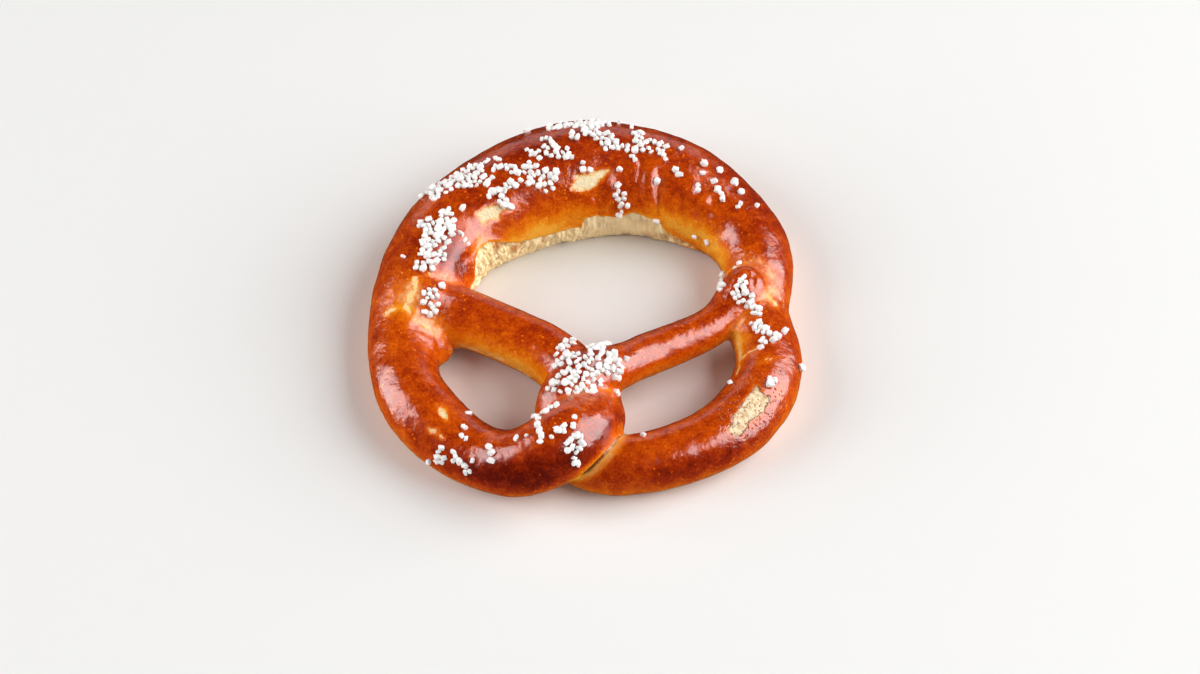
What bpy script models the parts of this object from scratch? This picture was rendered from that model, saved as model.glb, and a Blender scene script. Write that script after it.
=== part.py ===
# Salted soft pretzel: one long roll of dough, thick in the middle and thin at its ends, laid in a ring,
# crossed twice in front and pressed onto the ring at both tails, with coarse salt baked onto its crust.
# Lengths are in millimetres until the mesh is made. The pretzel rests on the plane z = 0 with the thick
# bow at +Y and the twist at -Y, and the middle of its footprint is the origin.

import math

import bmesh
import bpy
import numpy as np
from mathutils import Quaternion, Vector

MM = 0.001
NODE_NAME = "pretzel"
COLLECTION_NAME = "salted_pretzel"

# The roll's stations: x, y, height of its centre, and its radius.
LEFT_ARM = (
    (-65.5, -0.5, 21.5, 9.4),
    (-47.0, -3.2, 12.5, 10.5),
    (-26.0, -12.0, 10.0, 10.3),
    (-9.0, -22.8, 9.5, 10.5),
)
LEFT_TWIST = (
    (0.4, -37.3, 9.6, 11.0),
    (2.7, -49.5, 12.6, 11.9),
    (-1.4, -59.8, 18.2, 12.8),
    (-9.0, -66.4, 18.2, 12.7),
    (-20.0, -69.4, 14.2, 11.9),
)
RIGHT_TWIST = (
    (15.5, -67.4, 9.0, 10.4),
    (3.5, -66.0, 8.0, 10.0),
    (-5.2, -59.0, 9.4, 9.6),
    (-7.4, -49.5, 13.8, 9.3),
    (-3.6, -41.6, 19.0, 9.7),
    (3.6, -36.2, 20.0, 9.3),
    (11.5, -31.4, 17.2, 8.1),
)
RIGHT_ARM = (
    (20.0, -25.3, 14.6, 7.6),
    (31.5, -18.4, 13.3, 7.7),
    (41.0, -13.2, 13.0, 7.3),
    (49.6, -6.8, 13.8, 7.1),
    (55.4, 0.2, 17.0, 8.0),
    (63.6, 8.2, 21.5, 9.4),
)

# Stations of the ring, clockwise seen from above: the angle from +X in degrees, the distance of the roll's
# centre from the ring's centre, and the roll's radius. Its height follows from how far it settles.
RING_CENTRE = (0.0, -4.5)
RING = (
    (-120, 69.0, 11.3),
    (-145, 69.0, 12.5),
    (-170, 65.5, 12.3),
    (165, 60.3, 16.8),
    (145, 60.5, 18.4),
    (120, 60.0, 20.6),
    (95, 63.0, 22.2),
    (75, 66.0, 20.9),
    (55, 68.6, 18.5),
    (38, 70.7, 14.7),
    (20, 67.6, 13.2),
    (2, 62.6, 11.5),
    (-15, 68.0, 11.8),
    (-35, 70.6, 12.3),
    (-58, 67.8, 10.9),
)
TIP_PLACE = -5.0  # along at the left tip
SETTLE_SHARE = 0.6  # how much of a roll's radius above the light radius sinks into a flat foot
LIGHT_RADIUS = 8.0

SECTION_STEP = 4.7
SECTION_SIDES = 20
TIP_ANGLES = (24, 46, 68)  # degrees round the rounded tips at which they have a section
FOOT_CUTTER_SIZE = 240.0

# The torn side of the bow, where the crust split at its foot: a shallow step down to the crumb. Along is the
# place on the roll in mm, and lean is in degrees from straight up towards the right of the travel, which on
# the ring is its inner side.
TEAR_START = 238.0
TEAR_END = 364.0
TEAR_FADE = 7.0
TEAR_LEAN = 76.0
TEAR_LEAN_FADE = 7.0
TEAR_DEPTH = 1.3

# Swellings and dents of the crust: along, lean, reach along in mm, reach round in degrees, height.
SWELLINGS = (
    (197.0, 95.0, 8.0, 34.0, 3.6),
    (318.0, 64.0, 5.0, 30.0, -0.8),
    (341.0, 55.0, 4.0, 40.0, -0.9),
    (629.0, 16.0, 2.6, 20.0, -0.8),
)

# Patches of salt: along and lean of one end, along and lean of the other, half width in mm, number of grains.
SALT_PATCHES = {
    "left shoulder, upper": (246, 8, 238, 14, 3.2, 18),
    "left shoulder, middle": (239, -6, 233, 6, 2.6, 12),
    "left shoulder, lower": (233, 12, 227, 16, 4.5, 24),
    "left shoulder, end": (224, 6, 219, 10, 2.4, 9),
    "left shoulder, outer": (239, -19, 238, -12, 0.9, 3),
    "left shoulder, inner": (242, 30, 241, 42, 1.2, 6),
    "left tail": (4, 28, 5, 40, 3.6, 22),
    "left crest": (254, -28, 266, -16, 4.2, 36),
    "left crest, inner": (262, -6, 266, 2, 3.0, 12),
    "left crest, outline": (252, -46, 254, -34, 1.6, 6),
    "left crest, pair": (250, -22, 251, -18, 1.2, 3),
    "left crest, specks": (271, -20, 276, -11, 1.2, 4),
    "bow left, ring": (272, -3, 275, 1, 1.4, 6),
    "bow left, pair": (276, 7, 279, 11, 1.5, 6),
    "bow left, chain": (265, 21, 277, 22, 1.3, 10),
    "bow left, spur": (267, 26, 269, 38, 1.9, 10),
    "bow left, clump": (281, 17, 287, 34, 4.0, 34),
    "below the crest, left": (286, -2, 288, 6, 1.9, 8),
    "below the crest": (291, 4, 298, 13, 2.4, 14),
    "below the crest, chain": (293, -12, 295, -3, 1.1, 5),
    "below the crest, pair": (303, 32, 306, 33, 0.9, 3),
    "bow crest, left": (296, -26, 303, -30, 2.0, 10),
    "bow crest, rim": (304, -26, 313, -26, 2.6, 18),
    "bow crest, front": (309, -12, 315, 6, 3.2, 26),
    "bow crest, specks": (302, -9, 303, -3, 1.0, 3),
    "right crest": (325, -14, 326, 6, 2.2, 14),
    "right crest, left": (320, 4, 322, 8, 1.1, 4),
    "right crest, chain": (329, -6, 334, -10, 1.6, 8),
    "right crest, pair": (330, 3, 330, 5, 1.1, 3),
    "right crest, end": (333, 3, 337, 6, 1.5, 6),
    "right crest, inner": (323, 15, 326, 18, 1.1, 4),
    "bow middle": (318, 52, 324, 64, 2.2, 14),
    "bow middle, lower": (323, 68, 322, 80, 1.2, 4),
    "wrinkle": (337, 32, 337, 38, 0.9, 3),
    "bow right, inner": (352, 20, 352, 24, 1.2, 3),
    "bow right, middle": (359, 9, 362, 12, 1.1, 4),
    "bow right, far end": (369, 8, 369, -2, 1.0, 3),
    "upper crossing, front": (551, -56, 547, -30, 1.6, 6),
    "upper crossing, left": (545, -20, 549, 40, 2.4, 20),
    "upper crossing, middle": (551, -40, 553, 52, 2.4, 26),
    "upper crossing, right": (558, -30, 557, 30, 2.6, 26),
    "upper crossing, far right": (561, 10, 561, 62, 1.8, 16),
    "upper crossing, back": (560, -46, 566, -54, 2.0, 10),
    "left arm": (61, -30, 62, 18, 1.6, 8),
    "below the crossing, left": (99, 43, 94, -7, 1.0, 7),
    "below the crossing, right": (87, -40, 84, -57, 1.2, 4),
    "twist, top": (104, 34, 112, 46, 1.0, 7),
    "twist, down": (112, 40, 114, -10, 1.1, 9),
    "twist, end": (114, -10, 107, -12, 1.1, 7),
    "twist, clump": (108, -32, 109, -48, 1.8, 9),
    "twist, pair": (110, -58, 110, -68, 0.8, 3),
    "right tail, upper": (627, 8, 624, 16, 1.4, 6),
    "right tail, lower": (621, 14, 622, 46, 2.9, 24),
    "right tail, side": (620, -44, 621, -38, 1.0, 3),
    "above the right tail": (395, 30, 396, 40, 0.9, 3),
    "above the right tail, inner": (393, 80, 396, 86, 0.9, 3),
    "right shoulder, chain": (414, 9, 422, 12, 1.2, 6),
    "right shoulder": (422, 20, 426, 8, 2.0, 9),
    "right shoulder, clump": (426, 6, 430, -8, 1.9, 9),
    "right shoulder, end": (430, 10, 433, 14, 1.3, 5),
    "right shoulder, outer": (426, -28, 426, -24, 1.1, 3),
    "right lobe": (446, -18, 448, -20, 1.1, 3),
    "left lobe, first": (149, -52, 149, -72, 1.6, 8),
    "left lobe, second": (145, -46, 141, -57, 1.2, 6),
    "left lobe, third": (139, -60, 138, -65, 1.0, 3),
    "left lobe, fourth": (137, -41, 137, -45, 1.0, 3),
    "left lobe, middle": (130, -38, 129, -40, 0.9, 2),
    "left lobe, inner": (144, -13, 144, -11, 1.1, 2),
}
# Grains that lie alone, as along and lean.
SINGLE_GRAINS = (
    (225, -21), (252, 13), (7, -8), (269, 6), (300, 19), (304, 25), (292, 27), (290, -38), (318, -36),
    (322, -28), (340, -14), (319, 31), (342, 15), (343, 18), (349, -8), (350, 3), (354, -18), (355, 2),
    (360, -19), (365, -13), (372, -21), (341, 80), (361, 82), (369, 80), (565, 25),
    (105, -6), (117, 5), (121, 8), (132, -12), (130, -24), (151, 40), (147, 4), (152, -84), (436, -68),
    (453, 46), (497, 29),
)
SINGLE_REACH = 0.6
SALT_SEED = 20
SALT_TRIES = 12  # places drawn for each grain of a patch before the patch counts as full
GRAIN_LENGTH = (1.7, 2.9)
GRAIN_SPACING = 0.8  # closest centres, as a share of the two grains' mean length
CLEAR_OF_ROLL = 0.5  # a grain keeps this far from any other stretch of the roll
OTHER_STRETCH = 30.0  # what lies further along the roll than this is another stretch
CORE_STEP = 2.0

# The largest grains are relief of the solid, each a blunt nib with five sides.
SOLID_GRAINS = 250
SOLID_GRAIN_GAP = 2.9
NIB_SIDES = 5
NIB_TAPER = 0.62
NIB_SHARES = (1.0, 0.8, 0.95)  # length, width and height, as shares of a grain's length
NIB_LIFT = 0.12  # how far a nib's middle stands above the crust, as a share of its length

CRUST_COLOUR = (0.33, 0.07, 0.012, 1.0)
CRUST_ROUGHNESS = 0.32
SHARP_ANGLE = math.radians(42)


def stations():
    """The roll's stations in order from the left tip to the right one, as rows of x, y, z, radius."""
    rows = list(LEFT_ARM + LEFT_TWIST)
    for degrees, distance, radius in RING:
        angle = math.radians(degrees)
        x = RING_CENTRE[0] + distance * math.cos(angle)
        y = RING_CENTRE[1] + distance * math.sin(angle)
        rows.append((x, y, radius - SETTLE_SHARE * (radius - LIGHT_RADIUS), radius))
    rows.extend(RIGHT_TWIST + RIGHT_ARM)
    return np.array(rows)


class Roll:
    """The roll of dough: a natural cubic spline through its stations, by chord length in mm."""

    def __init__(self, rows):
        chords = np.linalg.norm(np.diff(rows[:, :3], axis=0), axis=1)
        self.rows = rows
        self.knots = TIP_PLACE + np.concatenate(([0.0], np.cumsum(chords)))
        self.start, self.end = self.knots[0], self.knots[-1]
        system = np.eye(len(rows))
        target = np.zeros_like(rows)
        for i in range(1, len(rows) - 1):
            before, after = chords[i - 1], chords[i]
            system[i, i - 1:i + 2] = before, 2 * (before + after), after
            target[i] = 6 * ((rows[i + 1] - rows[i]) / after - (rows[i] - rows[i - 1]) / before)
        self.bends = np.linalg.solve(system, target)

    def at(self, along):
        """Centres, radii and directions of travel at an array of places along the roll."""
        along = np.atleast_1d(along)
        k = np.clip(np.searchsorted(self.knots, along, side="right") - 1, 0, len(self.rows) - 2)
        span = (self.knots[k + 1] - self.knots[k])[:, None]
        to_next = (self.knots[k + 1] - along)[:, None]
        gone = (along - self.knots[k])[:, None]
        start = self.rows[k] / span - self.bends[k] * span / 6
        end = self.rows[k + 1] / span - self.bends[k + 1] * span / 6
        bend = (self.bends[k] * to_next**3 + self.bends[k + 1] * gone**3) / (6 * span)
        point = bend + start * to_next + end * gone
        slope = (self.bends[k + 1] * gone**2 - self.bends[k] * to_next**2) / (2 * span) - start + end
        travel = slope[:, :3] / np.linalg.norm(slope[:, :3], axis=1, keepdims=True)
        return point[:, :3], point[:, 3] * self.tip_share(along), travel

    def tip_share(self, along):
        """1 along the roll, falling to 0 at its two ends as a half ball does."""
        from_left = np.clip(1 - (along - self.start) / self.rows[0, 3], 0.0, 1.0)
        from_right = np.clip(1 - (self.end - along) / self.rows[-1, 3], 0.0, 1.0)
        return np.sqrt(1 - np.maximum(from_left, from_right) ** 2)

    def surface(self, along, lean):
        """Points of the crust and their outward directions; lean is in radians."""
        centre, radius, travel = self.at(along)
        side = np.cross(travel, (0.0, 0.0, 1.0))
        side /= np.linalg.norm(side, axis=1, keepdims=True)
        up = np.cross(side, travel)
        outward = np.sin(lean)[:, None] * side + np.cos(lean)[:, None] * up
        reach = radius + relief(along, np.degrees(lean))
        return centre + outward * reach[:, None], outward


def rise(value, start, fade):
    """0 below start, 1 beyond start + fade, and a smooth step between."""
    t = np.clip((value - start) / fade, 0.0, 1.0)
    return t * t * (3 - 2 * t)


def relief(along, lean):
    """Height of the crust over the round roll: the tear, the swellings and the dents; lean in degrees."""
    lean = np.mod(lean + 180.0, 360.0) - 180.0
    tear = rise(along, TEAR_START, TEAR_FADE) * rise(-along, -TEAR_END, TEAR_FADE)
    height = -TEAR_DEPTH * tear * rise(lean, TEAR_LEAN, TEAR_LEAN_FADE)
    for place, middle, reach, spread, rise_by in SWELLINGS:
        distance = ((along - place) / reach) ** 2 + ((lean - middle) / spread) ** 2
        height = height + rise_by * np.exp(-distance)
    return height


def section_places(roll):
    """Places along the roll that have a section: close together round the tips, then evenly spaced."""
    left_tip, right_tip = roll.rows[0, 3], roll.rows[-1, 3]
    tip_shares = 1 - np.cos(np.radians(TIP_ANGLES))
    first, last = roll.start + left_tip, roll.end - right_tip
    between = np.linspace(first, last, round((last - first) / SECTION_STEP) + 1)
    left, right = roll.start + left_tip * tip_shares, roll.end - right_tip * tip_shares[::-1]
    return np.concatenate((left, between, right))


def roll_object(roll):
    """The whole roll as one closed skin lofted through its sections; it still passes through itself."""
    places = section_places(roll)
    lean = np.linspace(0.0, 2 * math.pi, SECTION_SIDES, endpoint=False)
    points, _ = roll.surface(np.repeat(places, SECTION_SIDES), np.tile(lean, len(places)))
    mesh = bmesh.new()
    verts = [mesh.verts.new(point * MM) for point in points]
    rings = [verts[i:i + SECTION_SIDES] for i in range(0, len(verts), SECTION_SIDES)]
    for ring, after in zip(rings, rings[1:]):
        for i in range(SECTION_SIDES):
            j = (i + 1) % SECTION_SIDES
            mesh.faces.new((ring[i], ring[j], after[j], after[i]))
    for ring, along in ((rings[0], roll.start), (rings[-1], roll.end)):
        pole = mesh.verts.new(roll.at(along)[0][0] * MM)
        for i in range(SECTION_SIDES):
            mesh.faces.new((ring[i], ring[(i + 1) % SECTION_SIDES], pole))
    bmesh.ops.recalc_face_normals(mesh, faces=mesh.faces)
    return bpy.data.objects.new(NODE_NAME, mesh_data(mesh, NODE_NAME))


def mesh_data(mesh, name):
    data = bpy.data.meshes.new(name)
    mesh.to_mesh(data)
    mesh.free()
    return data


def salt_grains(roll):
    """Every grain of salt as a row: its place, outward direction, length and turn, in the patches' order.

    A patch is a disc swept from one of its ends to the other.
    """
    draw = np.random.default_rng(SALT_SEED)
    core = np.arange(roll.start, roll.end, CORE_STEP)
    middles, radii, _ = roll.at(core)
    grains = np.empty((0, 8))
    singles = [(along, lean, along, lean, SINGLE_REACH, 1) for along, lean in SINGLE_GRAINS]
    for along, lean, to_along, to_lean, half_width, count in [*SALT_PATCHES.values(), *singles]:
        tries = count * SALT_TRIES
        share = draw.uniform(0.0, 1.0, tries)
        angle = draw.uniform(0.0, 2 * math.pi, tries)
        distance = np.sqrt(draw.uniform(0.0, 1.0, tries))
        length = draw.uniform(*GRAIN_LENGTH, tries)
        turn = draw.uniform(0.0, 2 * math.pi, tries)
        at = along + (to_along - along) * share + half_width * distance * np.cos(angle)
        across = half_width * distance * np.sin(angle) / roll.at(along)[1]
        place, outward = roll.surface(at, np.radians(lean + (to_lean - lean) * share) + across)
        elsewhere = np.abs(core - at[:, None]) > OTHER_STRETCH
        gap = np.linalg.norm(middles - place[:, None], axis=2) - radii
        covered = np.any(elsewhere & (gap < CLEAR_OF_ROLL), axis=1)
        patch_end = len(grains) + count
        for i in np.flatnonzero(~covered):
            apart = np.linalg.norm(grains[:, :3] - place[i], axis=1)
            if np.all(apart > GRAIN_SPACING * (grains[:, 6] + length[i]) / 2) and len(grains) < patch_end:
                grains = np.vstack((grains, [*place[i], *outward[i], length[i], turn[i]]))
    return grains


def solid_grains(grains):
    """The largest grains that stand apart from each other, spread over all the patches."""
    chosen = np.empty((0, grains.shape[1]))
    for grain in grains[np.argsort(-grains[:, 6], kind="stable")]:
        apart = np.linalg.norm(chosen[:, :3] - grain[:3], axis=1)
        if np.all(apart > SOLID_GRAIN_GAP) and len(chosen) < SOLID_GRAINS:
            chosen = np.vstack((chosen, grain))
    return chosen


def nib_objects(grains):
    """One blunt nib for each grain, sunk a little into the crust, all sharing one mesh."""
    mesh = bmesh.new()
    bmesh.ops.create_cone(
        mesh, cap_ends=True, segments=NIB_SIDES, radius1=0.5, radius2=0.5 * NIB_TAPER, depth=1.0
    )
    nib = mesh_data(mesh, "salt_nib")
    nibs = []
    for number, (x, y, z, out_x, out_y, out_z, length, turn) in enumerate(grains):
        outward = Vector((out_x, out_y, out_z))
        upright = outward.to_track_quat("Z", "Y")
        piece = bpy.data.objects.new(f"salt_{number:03d}", nib)
        piece.location = (Vector((x, y, z)) + outward * NIB_LIFT * length) * MM
        piece.rotation_mode = "QUATERNION"
        piece.rotation_quaternion = upright @ Quaternion((0.0, 0.0, 1.0), turn)
        piece.scale = [length * share * MM for share in NIB_SHARES]
        nibs.append(piece)
    return nibs


def foot_cutter():
    """A block whose top is the plane that the pretzel rests on."""
    mesh = bmesh.new()
    bmesh.ops.create_cube(mesh, size=FOOT_CUTTER_SIZE * MM)
    cutter = bpy.data.objects.new("foot_cutter", mesh_data(mesh, "foot_cutter"))
    cutter.location.z = -FOOT_CUTTER_SIZE * MM / 2
    return cutter


def apply_boolean(base, operation, solver, others):
    """Fuses other objects to the base, or cuts them from it, and removes them."""
    collection = bpy.data.collections.new("cutters")
    bpy.context.scene.collection.children.link(collection)
    for other in others:
        collection.objects.link(other)
    boolean = base.modifiers.new("boolean", "BOOLEAN")
    boolean.operation = operation
    boolean.operand_type = "COLLECTION"
    boolean.collection = collection
    boolean.solver = solver
    boolean.use_self = solver == "EXACT"
    bpy.context.view_layer.objects.active = base
    bpy.ops.object.modifier_apply(modifier=boolean.name)
    for other in others:
        bpy.data.objects.remove(other)
    bpy.data.collections.remove(collection)


def crust_material():
    material = bpy.data.materials.new("baked_crust")
    material.use_nodes = True
    shader = material.node_tree.nodes["Principled BSDF"]
    shader.inputs["Base Color"].default_value = CRUST_COLOUR
    shader.inputs["Roughness"].default_value = CRUST_ROUGHNESS
    shader.inputs["Metallic"].default_value = 0.0
    return material


def main():
    for old in list(bpy.data.objects):
        bpy.data.objects.remove(old)
    parts = bpy.data.collections.new(COLLECTION_NAME)
    bpy.context.scene.collection.children.link(parts)

    roll = Roll(stations())
    pretzel = roll_object(roll)
    parts.objects.link(pretzel)
    # The exact cut also joins the roll to itself where it crosses; fusing the salt exactly leaves open edges.
    apply_boolean(pretzel, "DIFFERENCE", "EXACT", [foot_cutter()])
    apply_boolean(pretzel, "UNION", "MANIFOLD", nib_objects(solid_grains(salt_grains(roll))))

    pretzel.data.materials.clear()
    pretzel.data.materials.append(crust_material())
    pretzel.data.shade_smooth()
    pretzel.data.set_sharp_from_angle(angle=SHARP_ANGLE)


main()
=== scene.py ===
# The salted pretzel's looks: a glossy crust with wrinkles and flaked spots, torn crumb at the foot of the
# bow, and coarse salt. Lengths are in mm until a mesh is made. Along is the place on the roll, and lean the
# angle round it from straight up towards the right of the travel, which is the ring's inner side. A spot is
# its along, lean, reach along, spread of the lean, and amount, and a layer of noise its size and amount.
import math

import bpy
import numpy as np
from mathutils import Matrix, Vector


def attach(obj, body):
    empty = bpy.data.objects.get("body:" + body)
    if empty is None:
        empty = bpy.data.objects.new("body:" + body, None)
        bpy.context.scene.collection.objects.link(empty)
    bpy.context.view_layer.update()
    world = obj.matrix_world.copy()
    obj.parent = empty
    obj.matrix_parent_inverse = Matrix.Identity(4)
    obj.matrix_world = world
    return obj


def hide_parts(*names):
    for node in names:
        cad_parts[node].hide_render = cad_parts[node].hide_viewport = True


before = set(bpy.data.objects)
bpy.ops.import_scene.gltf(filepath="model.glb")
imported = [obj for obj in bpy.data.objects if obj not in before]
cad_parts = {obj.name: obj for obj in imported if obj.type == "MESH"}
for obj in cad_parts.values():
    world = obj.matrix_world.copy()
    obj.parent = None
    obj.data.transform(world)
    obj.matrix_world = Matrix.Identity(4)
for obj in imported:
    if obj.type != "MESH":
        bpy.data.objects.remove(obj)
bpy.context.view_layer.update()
mm = 0.001

rollShape = {
    # x, y, height of the roll's centre, radius
    "leftArm": ((-65.5, -0.5, 21.5, 9.4), (-47.0, -3.2, 12.5, 10.5), (-26.0, -12.0, 10.0, 10.3),
                (-9.0, -22.8, 9.5, 10.5)),
    "leftTwist": ((0.4, -37.3, 9.6, 11.0), (2.7, -49.5, 12.6, 11.9), (-1.4, -59.8, 18.2, 12.8),
                  (-9.0, -66.4, 18.2, 12.7), (-20.0, -69.4, 14.2, 11.9)),
    # clockwise from above: angle from +X in degrees, distance from the ring's centre, radius
    "ring": ((-120, 69.0, 11.3), (-145, 69.0, 12.5), (-170, 65.5, 12.3), (165, 60.3, 16.8),
             (145, 60.5, 18.4), (120, 60.0, 20.6), (95, 63.0, 22.2), (75, 66.0, 20.9), (55, 68.6, 18.5),
             (38, 70.7, 14.7), (20, 67.6, 13.2), (2, 62.6, 11.5), (-15, 68.0, 11.8), (-35, 70.6, 12.3),
             (-58, 67.8, 10.9)),
    "ringCentre": (0.0, -4.5),
    "rightTwist": ((15.5, -67.4, 9.0, 10.4), (3.5, -66.0, 8.0, 10.0), (-5.2, -59.0, 9.4, 9.6),
                   (-7.4, -49.5, 13.8, 9.3), (-3.6, -41.6, 19.0, 9.7), (3.6, -36.2, 20.0, 9.3),
                   (11.5, -31.4, 17.2, 8.1)),
    "rightArm": ((20.0, -25.3, 14.6, 7.6), (31.5, -18.4, 13.3, 7.7), (41.0, -13.2, 13.0, 7.3),
                 (49.6, -6.8, 13.8, 7.1), (55.4, 0.2, 17.0, 8.0), (63.6, 8.2, 21.5, 9.4)),
    "tipPlace": -5.0,  # along at the left tip
    "settleShare": 0.6,  # how much of a ring radius above the light radius sinks into a flat foot
    "lightRadius": 8.0,
    # swellings and dents, as spots
    "swellings": ((197, 95, 8, 34, 3.6), (318, 64, 5, 30, -0.8), (341, 55, 4, 40, -0.9),
                  (629, 16, 2.6, 20, -0.8)),
    "otherStretch": 30.0,  # what lies further along than this is another stretch of the roll
    "coreStep": 1.0,  # spacing of the places that gaps are measured from
    "leastRadius": 4.0,  # for distances round a thinner roll
}


def easeStep(value, start, end):
    # 0 up to start, 1 from end on, and the smooth cubic 3t^2 - 2t^3 between them.
    t = np.clip((value - start) / (end - start), 0.0, 1.0)
    return t * t * (3 - 2 * t)


def unit(rows):
    # Each row over its length.
    return rows / np.linalg.norm(rows, axis=1, keepdims=True)


def hump(distance, halfWidth):
    # exp(-(distance over half width)^2).
    return np.exp(-(distance / halfWidth) ** 2)


def bell(along, lean, place, middle, reach, spread):
    # exp(-(distance along over reach)^2 - (turn from the middle over spread)^2).
    return np.exp(-((along - place) / reach) ** 2 - ((lean - middle) / spread) ** 2)


def nearness(points, centre, reach):
    # exp(-(distance from the centre over reach)^2).
    return np.exp(-np.sum((points - centre) ** 2, axis=1) / reach**2)


class Roll:
    # The roll of dough: a natural cubic spline through its stations, by chord length.
    def __init__(self, rows):
        chords = np.linalg.norm(np.diff(rows[:, :3], axis=0), axis=1)
        self.rows = rows
        self.knots = rollShape["tipPlace"] + np.concatenate(([0.0], np.cumsum(chords)))
        self.start, self.end = self.knots[0], self.knots[-1]
        system = np.eye(len(rows))
        target = np.zeros_like(rows)
        for i in range(1, len(rows) - 1):
            before, after = chords[i - 1], chords[i]
            system[i, i - 1:i + 2] = before, 2 * (before + after), after
            target[i] = 6 * ((rows[i + 1] - rows[i]) / after - (rows[i] - rows[i - 1]) / before)
        self.bends = np.linalg.solve(system, target)

    def at(self, along):
        # Centres, radii and directions of travel; the radius shrinks at the tips as a half ball's does.
        k = np.clip(np.searchsorted(self.knots, along, side="right") - 1, 0, len(self.rows) - 2)
        span = (self.knots[k + 1] - self.knots[k])[:, None]
        toNext = (self.knots[k + 1] - along)[:, None]
        gone = (along - self.knots[k])[:, None]
        start = self.rows[k] / span - self.bends[k] * span / 6
        end = self.rows[k + 1] / span - self.bends[k + 1] * span / 6
        point = (self.bends[k] * toNext**3 + self.bends[k + 1] * gone**3) / (6 * span)
        point = point + start * toNext + end * gone
        slope = (self.bends[k + 1] * gone**2 - self.bends[k] * toNext**2) / (2 * span) - start + end
        fromLeft = np.clip(1 - (along - self.start) / self.rows[0, 3], 0.0, 1.0)
        fromRight = np.clip(1 - (self.end - along) / self.rows[-1, 3], 0.0, 1.0)
        shrink = np.sqrt(1 - np.maximum(fromLeft, fromRight) ** 2)
        return point[:, :3], point[:, 3] * shrink, unit(slope[:, :3])

    def frameAt(self, travel):
        # The side is level, to the right of the travel, and up is square to both.
        side = unit(np.cross(travel, (0.0, 0.0, 1.0)))
        return side, np.cross(side, travel)

    def surface(self, along, lean):
        # centre + outward * (radius + swellings), where outward leans from up towards the side.
        centre, radius, travel = self.at(along)
        side, up = self.frameAt(travel)
        turn = np.radians(lean)[:, None]
        outward = np.sin(turn) * side + np.cos(turn) * up
        return centre + outward * (radius + self.swelling(along, lean))[:, None], outward

    def swelling(self, along, lean):
        # The sum of height * bell over all swellings and dents.
        lean = np.mod(lean + 180, 360) - 180
        height = np.zeros(len(along))
        for *spot, rise in rollShape["swellings"]:
            height += rise * bell(along, lean, *spot)
        return height


def rollStations():
    # Rows of x, y, centre height and radius; the ring's are worked out from angle and distance.
    rows = list(rollShape["leftArm"] + rollShape["leftTwist"])
    for degrees, distance, radius in rollShape["ring"]:
        x = rollShape["ringCentre"][0] + distance * math.cos(math.radians(degrees))
        y = rollShape["ringCentre"][1] + distance * math.sin(math.radians(degrees))
        settled = rollShape["settleShare"] * (radius - rollShape["lightRadius"])
        rows.append((x, y, radius - settled, radius))
    rows.extend(rollShape["rightTwist"] + rollShape["rightArm"])
    return np.array(rows)


def cloudy(points, size, seed):
    # Smooth noise from -1 to 1: random values at the corners of a lattice of that size, eased between.
    corners = 32  # after which the lattice starts again
    table = np.random.default_rng(seed).uniform(-1, 1, (corners, corners, corners))
    place = points / size
    cell = np.floor(place).astype(int)
    part = place - cell
    part = part * part * (3 - 2 * part)
    total = np.zeros(len(points))
    for corner in np.ndindex(2, 2, 2):
        share = np.prod(np.where(corner, part, 1 - part), axis=1)
        x, y, z = ((cell + corner) % corners).T
        total += share * table[x, y, z]
    return total


def roughened(values, points, layers, seed):
    # The values plus amount * noise for every layer of a size and an amount.
    for number, (size, amount) in enumerate(layers):
        values = values + amount * cloudy(points, size, seed + number)
    return values


def newPiece(name, points, faces):
    # Points in mm as an array, and faces as a list.
    mesh = bpy.data.meshes.new(name)
    mesh.from_pydata((points * mm).tolist(), [], faces)
    mesh.validate()
    piece = bpy.data.objects.new(name, mesh)
    bpy.context.scene.collection.objects.link(piece)
    return piece


def gridFaces(rows, columns, wrap):
    # Quads between neighbours of a grid whose points run column by column; wrap joins the last column.
    i, j = np.meshgrid(np.arange(rows - 1), np.arange(columns if wrap else columns - 1), indexing="ij")
    a, b = i * columns + j, i * columns + (j + 1) % columns
    return np.stack((a, b, b + columns, a + columns), axis=-1).reshape(-1, 4)


def addFields(mesh, **fields):
    # Each name's values become an attribute with one number for each point.
    for name, values in fields.items():
        field = mesh.attributes.new(name, "FLOAT", "POINT")
        field.data.foreach_set("value", values.astype(np.float32))


def read(items, name, width, kind=float):
    # One property of all vertices, edges or normals, a row for each.
    values = np.zeros(len(items) * width, kind)
    items.foreach_get(name, values)
    return values.reshape(-1, width)


def allRows(groups):
    # The rows of every group, one group after the other.
    return [row for group in groups.values() for row in group]


class Link:
    # One output of a node, so that shader maths reads as ordinary expressions.
    def __init__(self, finish, socket):
        self.finish = finish
        self.socket = socket

    def math(self, operation, first, second):
        return self.finish.node("Math", {"operation": operation}, {0: first, 1: second})

    def __add__(self, other):
        return self.math("ADD", self, other)

    def __sub__(self, other):
        return self.math("SUBTRACT", self, other)

    def __rsub__(self, other):
        return self.math("SUBTRACT", other, self)

    def __mul__(self, other):
        return self.math("MULTIPLY", self, other)

    __radd__ = __add__
    __rmul__ = __mul__

    def __abs__(self):
        return self.math("ABSOLUTE", self, 0.0)

    def atLeast(self, other):
        # The greater of the two.
        return self.math("MAXIMUM", self, other)

    def swing(self, amount):
        # A pattern from 0 to 1 made one from -amount / 2 to amount / 2.
        return (self - 0.5) * amount

    def step(self, start, end):
        # 0 below start and 1 above end, or the other way round where start is above end.
        if start > end:
            return 1 - self.step(end, start)
        sockets = {0: self, 1: start, 2: end, 3: 0.0, 4: 1.0}
        return self.finish.node("MapRange", {"interpolation_type": "SMOOTHSTEP"}, sockets)


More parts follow.
